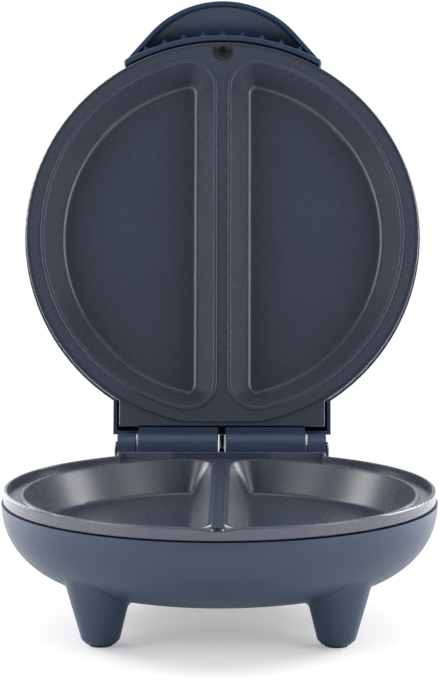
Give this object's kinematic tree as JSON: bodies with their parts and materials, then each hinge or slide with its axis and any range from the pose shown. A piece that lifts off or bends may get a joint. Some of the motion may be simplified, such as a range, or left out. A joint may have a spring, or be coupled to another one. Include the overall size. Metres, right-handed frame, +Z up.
{
  "type": "electric omelette maker",
  "caption": "Clamshell egg cooker on tapered legs: round bowl base and hinged domed lid, each with a non-stick plate of D-shaped pockets, and a crescent handle.",
  "frame": {"origin": "centre of the footprint of the whole, at worktop height, with the lid open", "axes": "+X to the right seen from the front, +Y to the back, +Z up"},
  "size_m": [0.22, 0.3221, 0.3114],
  "materials": {
    "housing_plastic": "matte moulded plastic, blue-grey",
    "nonstick_lower": "cast aluminium with dark grey non-stick coating",
    "nonstick_upper": "cast aluminium with dark grey non-stick coating",
    "foot_rubber": "soft black rubber",
    "black_screw": "blackened steel",
    "bright_steel": "zinc-plated steel",
    "element_steel": "stainless sheath",
    "element_aluminium": "aluminium sheath",
    "pan_aluminium": "bare sheet",
    "pan_steel": "aluminised sheet steel",
    "bakelite": "moulded bakelite",
    "block_ceramic": "unglazed ceramic",
    "inlet_rubber": "black rubber",
    "lead_silicone": "white silicone",
    "sleeve": "woven glass-fibre sleeve, black",
    "red_lens": "clear tinted plastic",
    "green_lens": "clear tinted plastic",
    "neon_glass": "clear glass",
    "board": "laminate board"
  },
  "bodies": {
    "base": {"base_hinge_leads": "lead_silicone", "base_housing": "housing_plastic", "base_sleeve": "sleeve", "cord_bush": "inlet_rubber", "foot_front_left": "foot_rubber", "foot_front_right": "foot_rubber", "foot_rear_left": "foot_rubber", "foot_rear_right": "foot_rubber", "hinge_pin_left": "bright_steel", "hinge_pin_right": "bright_steel", "lead_block_to_element": "lead_silicone", "lead_block_to_thermostat": "lead_silicone", "lead_thermostat_to_element": "lead_silicone", "lower_cold_pins": "bright_steel", "lower_element": "element_steel", "lower_pan": "pan_steel", "lower_pan_screws": "bright_steel", "lower_plate": "nonstick_lower", "lower_plate_screw": "black_screw", "terminal_block": "block_ceramic", "terminal_block_screws": "bright_steel", "thermostat": "bakelite", "thermostat_strap": "bright_steel"},
    "lid": {"handle_screws": "bright_steel", "lamp_board": "board", "lamp_board_screws": "bright_steel", "lamp_lens_left": "red_lens", "lamp_lens_right": "green_lens", "lamp_neons": "neon_glass", "lid_handle": "housing_plastic", "lid_heater_leads": "lead_silicone", "lid_housing": "housing_plastic", "lid_lamp_leads": "lead_silicone", "lid_sleeve": "sleeve", "upper_cold_pins": "bright_steel", "upper_element": "element_aluminium", "upper_pan": "pan_aluminium", "upper_pan_screws": "bright_steel", "upper_plate": "nonstick_upper", "upper_plate_screw": "black_screw"}
  },
  "joints": [
    {"name": "lid_hinge", "type": "hinge", "parent": "base", "child": "lid", "pos_m": [0, 0.06962, 0.0672], "axis": [1, 0, 0], "range_deg": [0, 105]}
  ]
}
